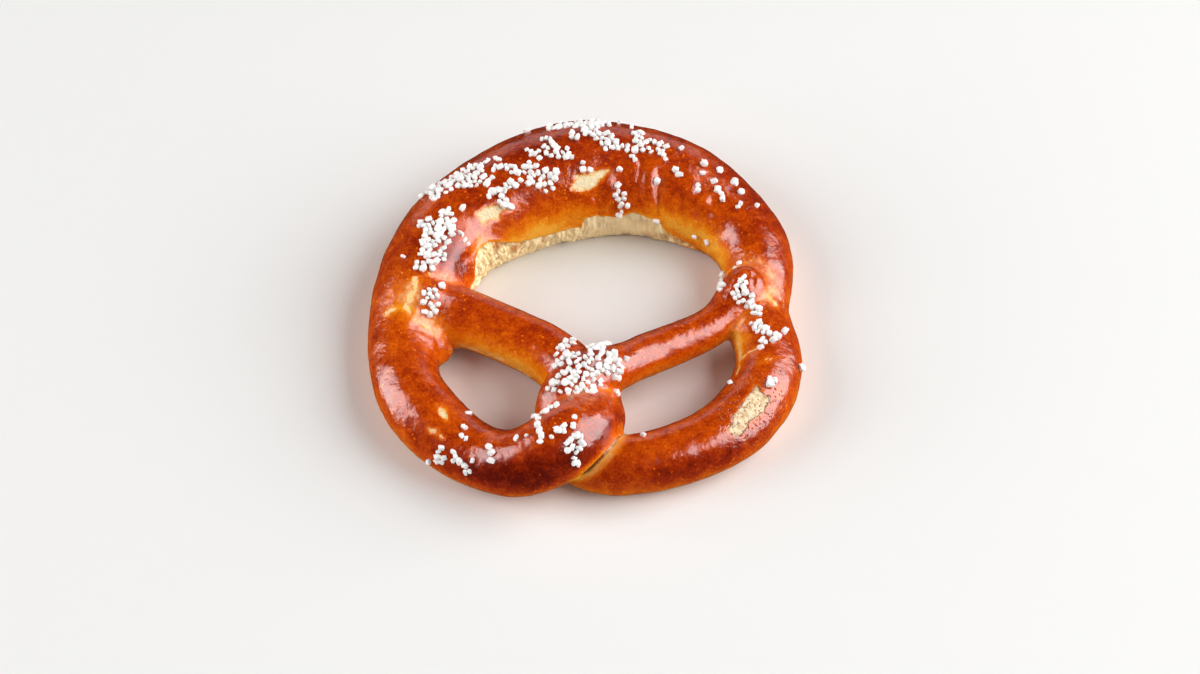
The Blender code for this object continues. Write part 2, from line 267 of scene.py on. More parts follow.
class Finish:
    # A material in the making, with one way to add any node.
    def __init__(self, name):
        self.material = bpy.data.materials.new(name)
        self.material.use_nodes = True
        self.tree = self.material.node_tree
        self.shader = self.tree.nodes["Principled BSDF"]
        self.place = self.node("TexCoord", output="Object")

    def feed(self, socket, value):
        if isinstance(value, Link):
            self.tree.links.new(value.socket, socket)
        else:
            socket.default_value = value

    def node(self, kind, settings=None, sockets=None, output=0):
        node = self.tree.nodes.new("ShaderNode" + kind)
        for name, value in (settings or {}).items():
            if name == "stops":
                for _ in range(len(value) - 2):
                    node.color_ramp.elements.new(1.0)
                for element, (position, colour) in zip(node.color_ramp.elements, value):
                    element.position = position
                    element.color = (*colour, 1.0)
            else:
                setattr(node, name, value)
        for name, value in (sockets or {}).items():
            self.feed(node.inputs[name], value)
        return Link(self, node.outputs[output])

    def texture(self, kind, size, place=None, output=0, **sockets):
        # A pattern whose lumps or cells are about size mm wide.
        sockets.update(Vector=place or self.place, Scale=1000 / size)
        return self.node("Tex" + kind, {}, sockets, output)

    def noise(self, size, detail=2.0, roughness=0.5, place=None):
        # Noise from 0 to 1.
        return self.texture("Noise", size, place, Detail=detail, Roughness=roughness)

    def cells(self, size, place=None):
        # Distance from the middle of the nearest cell.
        return self.texture("Voronoi", size, place, "Distance")

    def field(self, name):
        return self.node("Attribute", {"attribute_name": name}, {}, "Fac")

    def vector(self, operation, first, second):
        return self.node("VectorMath", {"operation": operation}, {0: first, 1: second})

    def shift(self, amount, size):
        # The place moved by up to amount mm by noise, which makes straight patterns ragged.
        wander = self.texture("Noise", size, None, "Color", Detail=2.0)
        centred = self.vector("SUBTRACT", wander, (0.5, 0.5, 0.5))
        return self.vector("ADD", self.place, self.vector("MULTIPLY", centred, [2 * amount * mm] * 3))

    def mix(self, share, first, second):
        first, second = [c if isinstance(c, Link) else (*c, 1.0) for c in (first, second)]
        return self.node("Mix", {"data_type": "RGBA"}, {0: share, 6: first, 7: second}, 2)

    def ramp(self, value, stops):
        return self.node("ValToRGB", {"stops": stops}, {0: value}, "Color")

    def bump(self, height, depth, below=None):
        # Depth is the height in mm that the full range of the pattern stands for.
        sockets = {"Strength": 1.0, "Distance": depth * mm, "Height": height}
        if below:
            sockets["Normal"] = below
        return self.node("Bump", {}, sockets)

    def finishWith(self, **sockets):
        for name, value in sockets.items():
            self.feed(self.shader.inputs[name.replace("_", " ")], value)
        return self.material


crust = {
    "voxel": 0.82,  # fineness of the mesh
    "sectionStep": 1.3,
    "sectionSides": 84,
    "footRounding": 1.6,
    "softenRounds": (8, 3),  # before and after the stretches run into each other
    "fillet": 1.5,  # how far two stretches that touch run into each other
    # where they run into each other further: x, y, z, reach, extra fillet
    "melts": ((-51, -18, 6, 9, 13.0), (-46, -16, 5, 6, 8.0), (2, -26, 12, 6, 2.0)),
    "lumps": ((16.0, 0.35), (6.5, 0.18), (2.6, 0.08)),
    "creasing": ((1.9, 0.6),),  # fine creases by pale folds
    "seamGroove": (0.5, 0.8),  # depth and half width
    "footFade": (0.4, 2.5),  # the relief fades in between these heights
    "farGap": 20.0,  # gaps are measured up to this
    "farOutside": -9.0,  # depths inside an outline are measured down to this
    "browningRange": (0.28, 0.34),  # on the low sides, and how much more on top; 0 is straw, 1 mahogany
    "foldLightening": (0.30, 4.0),  # amount by pale folds, and how far from the seam it reaches
    "seamLightening": (0.10, 1.6),  # amount and half width
    # spots that are browner or paler; a few of the browner ones are painted shade, as marked
    "browning": {
        "left arm": ((40, -20, 22, 30, 0.06), (45, 76, 26, 26, -0.42)),
        # the left lobe's first spot is browning and painted shade on its low front side, which the lamps
        # light least
        "left lobe": ((124, -74, 32, 34, 0.42), (120, -40, 16, 30, 0.12), (138, 40, 14, 20, 0.14)),
        "left corner": ((205, 10, 12, 50, -0.14),),
        # the second and third left shoulder spots are browning and painted shade, in the dip and dimming the
        # gloss's broad shine
        "left shoulder": ((228, 40, 12, 40, 0.06), (232, 50, 6, 18, 0.26), (233, 26, 8, 14, 0.24),
                          (246, 57, 8, 12, -0.36)),
        "bow": ((292, -8, 36, 34, 0.16), (279, 80, 26, 17, -0.44), (350, 76, 16, 17, -0.46),
                (379, 74, 18, 24, -0.44), (374, -30, 28, 34, 0.14)),
        "right corner": ((404, 20, 10, 50, -0.22),),
        # the right lobe's second spot is browning and painted shade on its low front side, which the lamps
        # light least
        "right lobe": ((426, 56, 11, 22, -0.36), (484, -72, 26, 32, 0.28), (470, 55, 22, 24, -0.10)),
        "right arm": ((590, -50, 20, 26, 0.10), (622, 20, 8, 40, 0.10)),
        "crossings": ((551, 4, 12, 60, 0.16), (88, 0, 5, 70, -0.26)),
    },
    # wrinkles: depth and half width of the valley, then points as along and lean
    "wrinkles": (
        (0.6, 2.0, (328, 20), (329, 45), (332, 72)), (1.1, 1.8, (336, 26), (338, 45), (340, 68)),
        (0.8, 2.0, (346, 24), (349, 46), (353, 66)), (0.6, 1.8, (308, 58), (309, 78)),
        (0.6, 1.8, (317, 58), (320, 78)), (0.4, 1.0, (216, 3), (210, 5), (205, 14), (202, 38)),
        (0.5, 1.0, (627, 36), (630, 20), (629, 0)),
    ),
    "wrinkleSides": (0.35, 2.4),  # the raised sides: height over the depth, and width over the width
    "wrinkleLine": (0.35, 0.5),  # the fine line in the valley: depth over the depth, and half width
    "wrinkleWander": ((3.0, 0.6),),
    # low ridges, as spots
    "ridges": ((348.5, 31, 3, 13, 1.0), (356.5, 36, 3, 12, 1.1), (364.5, 41, 3, 12, 1.0),
               (333, 44, 2.8, 18, 0.8), (315, 52, 3.2, 13, 0.9),
               (234, 52, 6, 18, -1.0), (239, 40, 13, 11, 0.9)),
    "dullSpots": ((232, 27, 9, 13, 0.75), (244, 22, 5, 10, 0.5)),
    "foldDullness": (1.0, 3.0),  # amount by pale folds, and how far from the seam it reaches
    # spots where the crust has flaked off, as outlines of along and lean
    "flakes": {
        "bow crest": ((297, 48), (300, 37), (308, 34), (314, 33), (310, 44), (305, 52)),
        "bow left": ((254, 41), (256, 30), (260, 28), (263, 33), (268, 39), (269, 43), (265, 44), (263, 47),
                     (259, 45)),
        "right lobe": ((452, -4), (452, -31), (456, -39), (463, -37), (467, -49), (469, -42), (469, -26),
                       (463, -9), (456, -3)),
        "under the right tail": ((422, 60), (428, 58), (434, 58), (441, 53), (449, 47), (443, 56), (435, 62),
                                 (427, 66)),
        "left lobe, inner": ((155, -3), (160, -3), (160, 10), (157, 9)),
        "left lobe, outer": ((151, -33), (155, -37), (158, -34), (155, -27)),
    },
    "flakeStep": 0.35,  # how deep they lie
    "flakeRagged": ((2.4, 0.9), (1.1, 0.5)),
    # the flake whose crumb is tan and coarse: x, y, z, reach, and how far it fades past that
    "tanFlake": (59.0, -51.0, 20.0, 11.0, 4.0),
    # pale folds where two stretches meet: x, y, z, reach, paleness
    "paleFolds": ((-60, -5, 24, 6, 0.6), (-53, -13, 18, 7, 0.7), (-50, 5, 20, 6, 0.6), (66, 8, 20, 7, 0.4),
                  (60, 13, 22, 6, 0.6), (-47, -15, 7, 6, 0.6), (68, -2, 18, 6, 0.8), (55, -14, 14, 6, 0.7),
                  (0, -53, 28, 8, 0.8), (-14, -46, 20, 5, 0.6)),
    # pale lines where the crust has cracked: half width, then points as along and lean
    "paleLines": (
        (0.50, (396, 60), (396, 39), (397, 16), (399, -3), (402, -15), (406, -25)),
        (0.40, (405, -11), (410, -20), (414, -30)), (0.35, (439, 55), (436, 44), (435, 32), (434, 18)),
        (0.05, (442, 15), (440, 3), (438, -11)),
        (0.50, (216, 2), (211, 4), (207, 6), (204, 16), (202, 38), (200, 59)),
        (0.35, (206, 6), (206, -2), (204, -26)), (0.80, (-2.5, -12), (-2.5, 18), (-2.5, 50)),
        (0.45, (222, 22), (225, 46), (226, 61)), (0.60, (24, 100), (30, 98), (37, 94), (45, 96), (53, 105)),
    ),
    "paleLineWander": ((2.4, 0.7),),
    # the crack across the foot crossing: x, y, z of its points, and how far the seam counts as cracked
    "crack": ((-2.5, -77.0, 16.0), (3.0, -73.5, 18.5), (8.0, -68.0, 20.5), (13.0, -60.0, 19.5)),
    "crackReach": 4.0,
    "crackDepth": 1.8,
    "crackWidth": 0.9,
    "crackSide": 2.8,  # width of the pale skin beside the crack
    "ringSide": 300.0,  # along past which the skin beside the crack is the pale side
    # linear colours, of which a pattern mixes the two of a pair
    "bakeColours": ((0.0, (0.94, 0.44, 0.04)), (0.2, (0.86, 0.26, 0.006)), (0.4, (0.72, 0.134, 0.002)),
                    (0.55, (0.56, 0.067, 0.001)), (0.75, (0.32, 0.022, 0.001)), (1.0, (0.11, 0.005, 0.001))),
    "mottling": (0.40, 0.50, 0.55),  # how far blotches, mottles and specks change the browning
    "creamColours": ((0.88, 0.66, 0.32), (0.96, 0.87, 0.62)),
    "tanColours": ((0.66, 0.40, 0.19), (0.96, 0.76, 0.51)),
    # painted shade for the pores of flaked spots
    "poreShadeColour": (0.30, 0.12, 0.03),
    "flakeRimColour": (0.86, 0.46, 0.10),
    "tanRimColour": (0.16, 0.04, 0.01),
    "paleLineColour": (0.95, 0.62, 0.18),
    "paleSideColours": ((0.86, 0.34, 0.03), (0.96, 0.66, 0.24)),
    # painted shade for the crack's groove
    "crackShadeColour": (0.07, 0.014, 0.004),
    "footColours": ((0.40, 0.16, 0.04), (0.68, 0.42, 0.16)),
    "roughness": (0.12, 0.10, 0.85),  # of the gloss seen face on, more of it edge on, and of dull places
}

tear = {
    # the torn band's edges as along and lean
    "upper": ((229, 90), (234, 88), (240, 67), (247, 62), (253, 63), (260, 72), (267, 85), (280, 90),
              (300, 92), (302, 80), (318, 84), (328, 77), (339, 79), (342, 83), (345, 94), (351, 98),
              (358, 108)),
    "lower": ((229, 106), (240, 120), (257, 134), (330, 136), (343, 130), (352, 122), (358, 114)),
    "ragged": ((5.0, 0.8), (1.8, 0.45)),
    "crustStep": 2.4,  # how deep the crust drops at the edge
    "lip": (0.25, 0.9, 0.8),  # the low lip round it: height, distance from the edge, half width
    "crumbDepth": 0.6,  # how far the crumb lies below the crust
    "smoothMiddle": (322, 20),  # where the crumb is a smooth wall of fibres: along and reach
    "lowShare": 0.72,  # past this share of the band's width the crumb is rough and toasted
    "toasted": ((258, 75, 4, 7, 1.0), (266, 92, 5, 9, 0.8), (352, 98, 8, 14, 0.8), (276, 104, 8, 8, 0.35)),
    "fibres": (0.9, 0.22, 0.22),  # size, amount, and how far they are drawn out across the roll
    # lumps: size, amount where the crumb is smooth, and how much more where it is rough
    "lumps": ((5.0, 0.5, 0.0), (1.9, 0.10, 0.50), (0.9, 0.05, 0.30)),
    "gridStep": 0.36,
    "gridRows": 64,
    "margin": 0.12,  # how far the rows run past the edges, as a share of the band's width
    "bandWidth": 30,
    "tuck": 3.0,  # how far the rim is tucked under the crust
    "tuckWidth": 2.6,
    "thickness": 1.2,  # of the rim
    "clearOfFoot": 0.15,
    "crumbColours": ((0.28, (0.80, 0.55, 0.22)), (0.42, (0.95, 0.76, 0.38)),
                     (0.58, (0.98, 0.87, 0.52)), (0.78, (0.99, 0.94, 0.68))),
    # painted shade for the crumb's hollows
    "pitShadeColour": (0.50, 0.27, 0.08),
    "toastColours": ((0.72, 0.30, 0.03), (0.55, 0.24, 0.05)),
}
tearStart, tearEnd = tear["upper"][0][0], tear["upper"][-1][0]


def tearEdge(edge, along):
    # The lean of the upper or lower edge there.
    return np.interp(along, *np.array(tear[edge]).T)


class Places:
    # Where points lie on the roll. A point belongs to the stretch with the least distance from its centre
    # less its radius, and the gap is the same measure to the nearest other stretch.
    def __init__(self, roll, points):
        core = np.arange(roll.start, roll.end, rollShape["coreStep"])
        centres, radii, _ = roll.at(core)
        self.along = np.zeros(len(points))
        self.gap = np.zeros(len(points))
        blockSize = 4000  # points measured at once
        for start in range(0, len(points), blockSize):
            block = slice(start, start + blockSize)
            reach = np.linalg.norm(points[block, None] - centres, axis=2) - radii
            nearest = core[np.argmin(reach, axis=1)]
            reach[np.abs(core - nearest[:, None]) < rollShape["otherStretch"]] = np.inf
            self.along[block] = nearest
            self.gap[block] = reach.min(axis=1)
        centre, _, travel = roll.at(self.along)
        ahead = np.sum((points - centre) * travel, axis=1)
        self.along = np.clip(self.along + ahead, roll.start, roll.end)
        centre, self.radius, travel = roll.at(self.along)
        side, up = roll.frameAt(travel)
        out = points - centre
        self.lean = np.degrees(np.arctan2(np.sum(out * side, axis=1), np.sum(out * up, axis=1)))
        self.radius = np.maximum(self.radius, rollShape["leastRadius"])

    def gapToLine(self, line):
        # Distance from a line of straight stretches over the unrolled skin, where the arc is lean * radius.
        arc = np.radians(self.lean) * self.radius
        nearest = np.full(len(arc), np.inf)
        for (a0, lean0), (a1, lean1) in zip(line, line[1:]):
            b0, b1 = np.radians(lean0) * self.radius, np.radians(lean1) * self.radius
            run, climb = a1 - a0, b1 - b0
            share = ((self.along - a0) * run + (arc - b0) * climb) / (run**2 + climb**2)
            share = np.clip(share, 0.0, 1.0)
            nearest = np.minimum(nearest, np.hypot(self.along - a0 - share * run, arc - b0 - share * climb))
        return nearest

    def insideOutline(self, line):
        # Distance inside a closed outline over the skin, negative outside, by the even-odd rule.
        closed = [*line, line[0]]
        crossed = np.zeros(len(self.along), int)
        for (a0, lean0), (a1, lean1) in zip(closed, closed[1:]):
            passed = (lean0 > self.lean) != (lean1 > self.lean)
            meets = a0 + (a1 - a0) * (self.lean - lean0) / ((lean1 - lean0) or 1.0)
            crossed += passed & (self.along < meets)
        return self.gapToLine(closed) * np.where(crossed % 2, 1.0, -1.0)

    def spot(self, *place):
        return bell(self.along, self.lean, *place)

    def insideTear(self):
        # Distance over the skin from the torn band's nearest edge; negative outside.
        arc = np.radians(1.0) * self.radius
        fromUpper = (self.lean - tearEdge("upper", self.along)) * arc
        fromLower = (tearEdge("lower", self.along) - self.lean) * arc
        fromEnds = np.minimum(self.along - tearStart, tearEnd - self.along)
        return np.minimum(np.minimum(fromUpper, fromLower), fromEnds)


def rollSkin(roll):
    # A grid of along by lean, with rings at 1 - cos of 8 to 80 degrees near the tips, and a point at each
    # one. The foot is pressed flat: the height becomes (z + sqrt(z^2 + rounding^2)) / 2.
    tip = 1 - np.cos(np.radians(np.arange(8, 88, 8)))
    first, last = roll.rows[0, 3], roll.rows[-1, 3]
    count = round((roll.end - roll.start - first - last) / crust["sectionStep"])
    middle = np.linspace(roll.start + first, roll.end - last, count)
    along = np.concatenate((roll.start + first * tip, middle, roll.end - last * tip[::-1]))
    sides = crust["sectionSides"]
    lean = np.linspace(0.0, 360.0, sides, endpoint=False)
    points, _ = roll.surface(np.repeat(along, sides), np.tile(lean, len(along)))
    points = np.vstack((points, roll.at(np.array([roll.start, roll.end]))[0]))
    points[:, 2] = (points[:, 2] + np.hypot(points[:, 2], crust["footRounding"])) / 2
    here = np.arange(sides)
    after = np.roll(here, -1)
    leftTip = np.full(sides, len(points) - 2)
    lastRing = len(points) - 2 - sides
    faces = gridFaces(len(along), sides, True)[:, ::-1].tolist()
    faces += np.stack((here, after, leftTip), axis=1).tolist()
    faces += np.stack((leftTip + 1, lastRing + after, lastRing + here), axis=1).tolist()
    return points, faces


def bakedSkin(roll):
    # The roll passes through itself, so one closed skin over all of it is made anew from voxels.
    skin = newPiece("pretzelCrust", *rollSkin(roll))
    remesh = skin.modifiers.new("remesh", "REMESH")
    remesh.mode = "VOXEL"
    remesh.voxel_size = crust["voxel"] * mm
    remesh.use_smooth_shade = True
    done = bpy.data.meshes.new_from_object(skin.evaluated_get(bpy.context.evaluated_depsgraph_get()))
    skin.modifiers.clear()
    skin.data = done
    return skin


def softened(points, edges, rounds):
    # Each round moves every point halfway to the mean of its neighbours.
    count = np.bincount(edges.ravel(), minlength=len(points))
    for _ in range(rounds):
        total = np.zeros_like(points)
        for axis in range(3):
            total[:, axis] += np.bincount(edges[:, 0], points[edges[:, 1], axis], len(points))
            total[:, axis] += np.bincount(edges[:, 1], points[edges[:, 0], axis], len(points))
        points = (points + total / count[:, None]) / 2
    return points


def meshNormals(mesh, points):
    # The normals at the points once the mesh has been moved to them.
    mesh.vertices.foreach_set("co", (points * mm).ravel())
    mesh.update()
    return read(mesh.vertex_normals, "vector", 3)


def filletRise(places, points):
    # Where the gap to the next stretch is under the fillet k, the skin rises by (k - gap)^2 / 4k.
    k = np.full(len(points), crust["fillet"])
    for *centre, reach, extra in crust["melts"]:
        k += extra * nearness(points, centre, reach)
    return np.maximum(k - places.gap, 0.0) ** 2 / (4 * k)


def flakeDepth(places, points):
    # Distance inside the nearest flaked spot from its ragged rim; negative outside.
    inside = [places.insideOutline(line) for line in crust["flakes"].values()]
    inside = np.max(inside, axis=0, initial=crust["farOutside"])
    return roughened(inside, points, crust["flakeRagged"], seed=50)


def crackGap(places, points):
    # The gap between the two stretches, and more than that away from the crack.
    line = np.array(crust["crack"])
    nearest = np.full(len(points), np.inf)
    for start, end in zip(line, line[1:]):
        run = end - start
        share = np.clip((points - start) @ run / np.sum(run**2), 0.0, 1.0)
        nearest = np.minimum(nearest, np.linalg.norm(points - start - share[:, None] * run, axis=1))
    return np.minimum(places.gap + np.maximum(nearest - crust["crackReach"], 0.0), crust["farGap"])


def paleLineDepth(places, points):
    # Distance inside the nearest pale line from its rim; negative outside.
    wander = roughened(0.0, points, crust["paleLineWander"], seed=55)
    inside = [wide - np.abs(places.gapToLine(line) + wander) for wide, *line in crust["paleLines"]]
    return np.max(inside, axis=0, initial=crust["farOutside"])


def foldPaleness(points):
    # The greatest paleness * nearness over the pale folds.
    folds = [pale * nearness(points, centre, reach) for *centre, reach, pale in crust["paleFolds"]]
    return np.max(folds, axis=0)


def browning(places, fold, normals):
    # More on top than on the low sides, plus amount * bell for every spot, and less by pale folds and seams.
    low, more = crust["browningRange"]
    bakeAndShade = low + more * easeStep(normals[:, 2], -0.45, 0.75)
    # a few of these spots are painted shade, marked where they are listed
    for *spot, amount in allRows(crust["browning"]):
        bakeAndShade = bakeAndShade + amount * places.spot(*spot)
    amount, reach = crust["foldLightening"]
    bakeAndShade -= amount * fold * np.exp(-np.abs(places.gap) / reach)
    amount, halfWidth = crust["seamLightening"]
    return bakeAndShade - amount * hump(places.gap, halfWidth)


def dullness(places, fold):
    # The greatest of the dull spots and the pale folds' dullness, which fades with the gap.
    amount, reach = crust["foldDullness"]
    dull = amount * fold * np.exp(-np.abs(places.gap) / reach)
    for *spot, strength in crust["dullSpots"]:
        dull = np.maximum(dull, strength * places.spot(*spot))
    return dull


def reliefHeight(places, points, torn, flaked, cracked):
    # The lip round the tear less the step down into it and the flaked spots, plus lumps and creasing, less
    # wrinkles with raised sides, plus ridges, less the grooves at seams and along the crack.
    lipHeight, lipPlace, lipWidth = tear["lip"]
    height = lipHeight * hump(torn + lipPlace, lipWidth) - tear["crustStep"] * easeStep(torn, -0.2, 0.9)
    height -= crust["flakeStep"] * easeStep(flaked, -0.2, 0.5)
    height = roughened(height, points, crust["lumps"], seed=10)
    height += roughened(0.0, points, crust["creasing"], seed=33) * foldPaleness(points)
    wander = roughened(0.0, points, crust["wrinkleWander"], seed=30)
    side, sideWidth = crust["wrinkleSides"]
    line, lineWidth = crust["wrinkleLine"]
    for depth, halfWidth, *course in crust["wrinkles"]:
        gap = places.gapToLine(course) + wander
        height -= depth * (hump(gap, halfWidth) - side * hump(gap / halfWidth, sideWidth))
        height -= line * depth * hump(gap, lineWidth)
    for *spot, rise in crust["ridges"]:
        height += rise * places.spot(*spot)
    depth, halfWidth = crust["seamGroove"]
    height -= depth * hump(places.gap, halfWidth)
    return height - crust["crackDepth"] * hump(cracked, crust["crackWidth"])


def crustPiece(roll):
    # The skin, softened, raised where stretches meet, and moved out by the relief, which fades at the foot.
    piece = bakedSkin(roll)
    mesh = piece.data
    edges = read(mesh.edges, "vertices", 2, int)
    roundsBefore, roundsAfter = crust["softenRounds"]
    points = softened(read(mesh.vertices, "co", 3) / mm, edges, roundsBefore)
    rise = filletRise(Places(roll, points), points)
    points = softened(points + meshNormals(mesh, points) * rise[:, None], edges, roundsAfter)
    normals = meshNormals(mesh, points)
    places = Places(roll, points)

    torn = roughened(places.insideTear(), points, tear["ragged"], seed=40)
    flaked = flakeDepth(places, points)
    cracked = crackGap(places, points)
    height = reliefHeight(places, points, torn, flaked, cracked) * easeStep(points[:, 2], *crust["footFade"])
    points = points + normals * height[:, None]
    points[:, 2] = np.maximum(points[:, 2], 0.0)
    normals = meshNormals(mesh, points)

    fold = foldPaleness(points)
    *centre, reach, fade = crust["tanFlake"]
    fromTan = np.linalg.norm(points - centre, axis=1)
    notPale = -4.0  # depth given to skin off the pale side
    addFields(
        mesh, browning=browning(places, fold, normals), dull=dullness(places, fold), torn=torn, flaked=flaked,
        fold=fold, gap=np.minimum(places.gap, crust["farGap"]), crack=cracked,
        paleSide=np.where(places.along > crust["ringSide"], crust["crackSide"] - cracked, notPale),
        paleLine=paleLineDepth(places, points), tan=easeStep(fromTan, reach + fade, reach),
    )
    mesh.shade_smooth()
    mesh.materials.clear()
    mesh.materials.append(crustFinish())
    print("crust:", len(mesh.polygons), "faces")
    return piece


def crustFinish():
    # Browning from straw through amber to mahogany, broken by blotches and specks, with cream where the crust
    # has flaked, cracked or split at a fold, and painted shade in the crack and in the pores of flaked spots.
    # Bare crumb, dull spots and the floury foot are matt.
    finish = Finish("bakedCrust")
    blotch = finish.noise(10.0, 3.0, 0.55)
    mottle = finish.noise(3.4, 3.0, 0.6, finish.shift(1.5, 5.0))
    speck = finish.noise(0.9, 3.0, 0.65)
    fold, gap, crack = finish.field("fold"), finish.field("gap"), finish.field("crack")
    inFlake, inTear, inLine = finish.field("flaked"), finish.field("torn"), finish.field("paleLine")
    bakeAndShade = finish.field("browning")
    for pattern, amount in zip((blotch, mottle, speck), crust["mottling"]):
        bakeAndShade = bakeAndShade + pattern.swing(amount)
    blister = finish.cells(2.4, finish.shift(0.6, 2.0)).step(0.24, 0.10) * blotch.step(0.48, 0.60)
    bakeAndShade = bakeAndShade - blister * 0.34 - inFlake.step(-1.8, 0.0) * 0.22
    bakeAndShade = bakeAndShade - inTear.step(-2.2, 0.0) * mottle.step(0.35, 0.6) * 0.25
    bakeAndShade = bakeAndShade - inLine.step(-2.4, 0.2) * mottle.step(0.3, 0.6) * 0.30
    bakeAndShade = bakeAndShade - crack.step(7.0, 0.5) * 0.30
    colour = finish.ramp(bakeAndShade, crust["bakeColours"])

    # a split is a thin line where noise passes through its middle value
    split = abs(finish.noise(4.5, 4.0, 0.62, finish.shift(1.0, 2.0)) - 0.5).step(0.020, 0.005)
    split = split * (fold + blotch.swing(0.8)).step(0.25, 0.6) * gap.step(9.0, 4.0) * 0.6
    seam = (gap + mottle.swing(0.8)).step(0.35, 0.05) * (fold + speck.swing(0.5)).step(0.2, 0.5)
    line = (inLine + speck.swing(1.1)).step(-0.25, 0.15) * mottle.step(0.40, 0.52)
    pale = split.atLeast(seam).atLeast(line)
    flakeEdge = inFlake + speck.swing(1.6) + mottle.swing(1.0)
    flaked = flakeEdge.step(-0.15, 0.25)
    torn = (inTear + speck.swing(0.6)).step(-0.25, 0.15)
    uncovered = flaked.atLeast(torn)
    bare = uncovered.atLeast(pale * 0.85)

    tan = finish.field("tan")
    pore = finish.cells(1.3).step(0.34, 0.16)
    coarse = finish.mix(finish.noise(1.4, 3.0).step(0.36, 0.62), *crust["tanColours"])
    cream = finish.mix(finish.noise(1.8, 3.0), *crust["creamColours"])
    cream = finish.mix(tan * 0.85, cream, coarse)
    # painted shade in the pores, deeper on the tan flake
    cream = finish.mix(pore * (0.25 + tan * 0.45), cream, crust["poreShadeColour"])
    cream = finish.mix(flakeEdge.step(1.0, 0.1) * flaked * (1 - tan), cream, crust["flakeRimColour"])
    cream = finish.mix(pale * (1 - uncovered) * 0.7, cream, crust["paleLineColour"])

    paleSide = (finish.field("paleSide") + mottle.swing(4.0)).step(-1.2, 2.4)
    colour = finish.mix(paleSide * 0.8, colour, finish.mix(mottle, *crust["paleSideColours"]))
    colour = finish.mix(bare, colour, cream)
    tanRim = flakeEdge.step(-0.7, -0.1) * flakeEdge.step(0.5, 0.0) * tan
    colour = finish.mix(tanRim * 0.8, colour, crust["tanRimColour"])
    # painted shade: near black in the crack
    colour = finish.mix((crack + speck.swing(0.5)).step(1.2, 0.7) * 0.9, colour, crust["crackShadeColour"])
    height = finish.node("SeparateXYZ", {}, {0: finish.place}, "Z")
    foot = height.step(1.6 * mm, 0.4 * mm)
    colour = finish.mix(foot, colour, finish.mix(blotch, *crust["footColours"]))

    crinkle = finish.noise(1.5, 3.0, 0.6, finish.shift(0.8, 2.5))
    normal = finish.bump(crinkle, 0.14)
    normal = finish.bump(finish.noise(0.7, 2.0), 0.025, normal)
    normal = finish.bump(finish.noise(4.2, 2.0), 0.25, normal)
    normal = finish.bump(bare * -1.0 + speck * bare * 1.5 - pore * tan * 0.8, 0.4, normal)
    dull = bare.atLeast(foot).atLeast(finish.field("dull"))
    faceOn, edgeOn, matt = crust["roughness"]
    rough = faceOn + finish.node("LayerWeight", {}, {"Blend": 0.3}, "Facing") * edgeOn
    rough = rough + dull * (matt - rough)
    return finish.finishWith(Base_Color=colour, Roughness=rough, IOR=1.5, Normal=normal)


def tornCrumbPiece(roll):
    # A grid of along by rows from the upper edge to the lower one. It lies crumbDepth under the skin, dives
    # by the tuck at its rim, and a second sheet behind closes it.
    start, end, margin = tearStart - 1, tearEnd + 1, tear["margin"]
    along = np.arange(start, end, tear["gridStep"])
    rows = np.linspace(-margin, 1 + margin, tear["gridRows"])
    a = np.repeat(along, len(rows))
    share = np.tile(rows, len(along))
    upper = tearEdge("upper", a)
    lean = upper + share * (tearEdge("lower", a) - upper)
    skin, outward = roll.surface(a, lean)
    strip = np.stack((a, np.radians(lean) * roll.at(a)[1], np.zeros(len(a))), axis=1)
    middle, reach = tear["smoothMiddle"]
    rough = easeStep(np.abs(a - middle), 0.8 * reach, 1.3 * reach)
    rough = np.maximum(rough, 0.8 * easeStep(share, tear["lowShare"], 0.95))
    size, amount, drawnOut = tear["fibres"]
    fibres = cloudy(strip * (1.0, drawnOut, 1.0), size, seed=60) * amount
    lumps = np.zeros(len(a))
    for number, (size, amount, more) in enumerate(tear["lumps"]):
        lumps += cloudy(strip, size, 61 + number) * (amount + more * rough)
    rim = np.minimum(share + margin, 1 + margin - share) * tear["bandWidth"]
    rim = np.minimum(rim, np.minimum(a - start, end - a))
    depth = tear["crumbDepth"] + tear["tuck"] * easeStep(rim, tear["tuckWidth"], 0.0)
    front = skin + outward * (fibres + lumps - depth)[:, None]
    back = skin - outward * (tear["crumbDepth"] + tear["tuck"] + tear["thickness"])
    columns, count = len(rows), len(front)
    faces = gridFaces(len(along), columns, False)
    edge = np.concatenate((
        np.arange(columns - 1), np.arange(1, len(along)) * columns - 1,
        count - 1 - np.arange(columns - 1), np.arange(len(along) - 1, 0, -1) * columns,
    ))
    after = np.roll(edge, -1)
    wall = np.stack((after, edge, edge + count, after + count), axis=1)
    points = np.vstack((front, back))
    points[:, 2] = np.maximum(points[:, 2], tear["clearOfFoot"])
    piece = newPiece("tornCrumb", points, np.vstack((faces, faces[:, ::-1] + count, wall)).tolist())
    toast = 0.55 * easeStep(share, tear["lowShare"], 1.0) * (0.6 + 0.4 * rough)
    for *spot, amount in tear["toasted"]:
        toast = np.maximum(toast, amount * bell(a, lean, *spot))
    # the lumps' heights, for painted shade in the crumb's hollows
    addFields(piece.data, toast=np.tile(toast, 2), pits=np.tile(lumps, 2))
    piece.data.shade_smooth()
    piece.data.materials.append(crumbFinish())
    print("torn crumb:", len(piece.data.polygons), "faces")
    return piece


